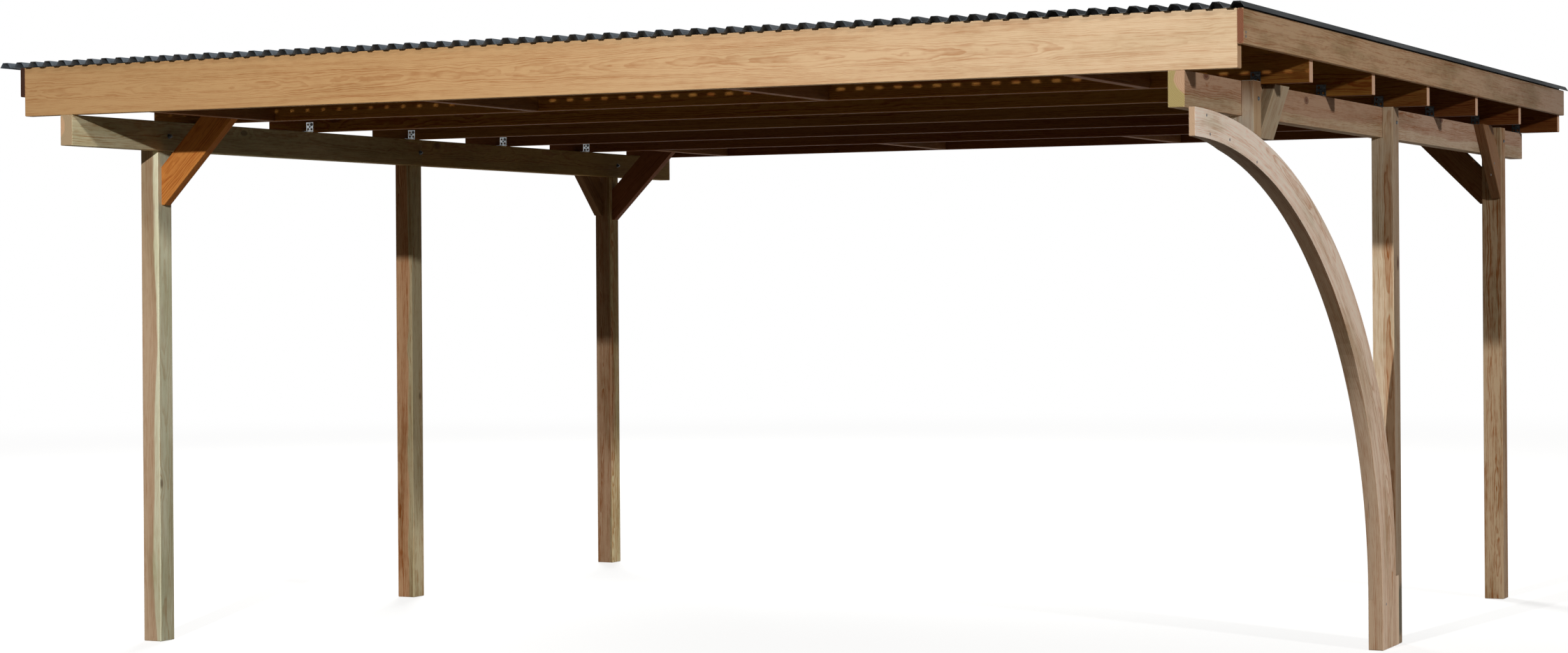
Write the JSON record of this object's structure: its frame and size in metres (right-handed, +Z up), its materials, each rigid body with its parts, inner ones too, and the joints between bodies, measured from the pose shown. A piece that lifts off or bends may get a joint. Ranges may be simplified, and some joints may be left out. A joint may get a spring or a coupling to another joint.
{
  "type": "double timber carport",
  "caption": "Open double carport of squared timber posts, purlins and rafters with a curved entry arch and a flat roof of ribbed steel sheets.",
  "frame": {"origin": "on the ground, under the middle of the roof's bounding box", "axes": "+X to the right along the front, +Y to the back, +Z up"},
  "size_m": [5.308, 5.12, 2.4323],
  "materials": {
    "treated_pine": "matt",
    "fresh_pine": "matt",
    "orange_pine": "matt",
    "shaded_pine": "matt",
    "arch_pine": "matt",
    "roof_steel": "satin",
    "galvanised_steel": "satin"
  },
  "bodies": {
    "root": {"back_nogging_1": "shaded_pine", "back_nogging_2": "shaded_pine", "back_nogging_3": "shaded_pine", "back_nogging_4": "shaded_pine", "entry_arch": "arch_pine", "front_nogging_1": "shaded_pine", "front_nogging_2": "shaded_pine", "front_nogging_3": "shaded_pine", "front_nogging_4": "shaded_pine", "left_back_cross_brace": "treated_pine", "left_back_post": "treated_pine", "left_back_side_brace": "treated_pine", "left_front_cross_brace": "orange_pine", "left_front_post": "treated_pine", "left_front_side_brace": "treated_pine", "left_middle_post": "treated_pine", "left_purlin_back": "treated_pine", "left_purlin_front": "treated_pine", "left_rafter_brackets": "galvanised_steel", "left_side_board": "treated_pine", "rafter_1": "fresh_pine", "rafter_2": "shaded_pine", "rafter_3": "shaded_pine", "rafter_4": "shaded_pine", "rafter_5": "shaded_pine", "rafter_6": "shaded_pine", "rafter_7": "shaded_pine", "right_back_cross_brace": "treated_pine", "right_back_post": "treated_pine", "right_back_side_brace": "treated_pine", "right_front_side_brace": "treated_pine", "right_front_stub": "treated_pine", "right_middle_post": "treated_pine", "right_purlin_back": "treated_pine", "right_purlin_front": "treated_pine", "right_rafter_brackets": "galvanised_steel", "right_side_board": "treated_pine", "roof_sheet_1": "roof_steel", "roof_sheet_2": "roof_steel", "roof_sheet_3": "roof_steel", "roof_sheet_4": "roof_steel", "roof_sheet_5": "roof_steel"}
  },
  "joints": []
}
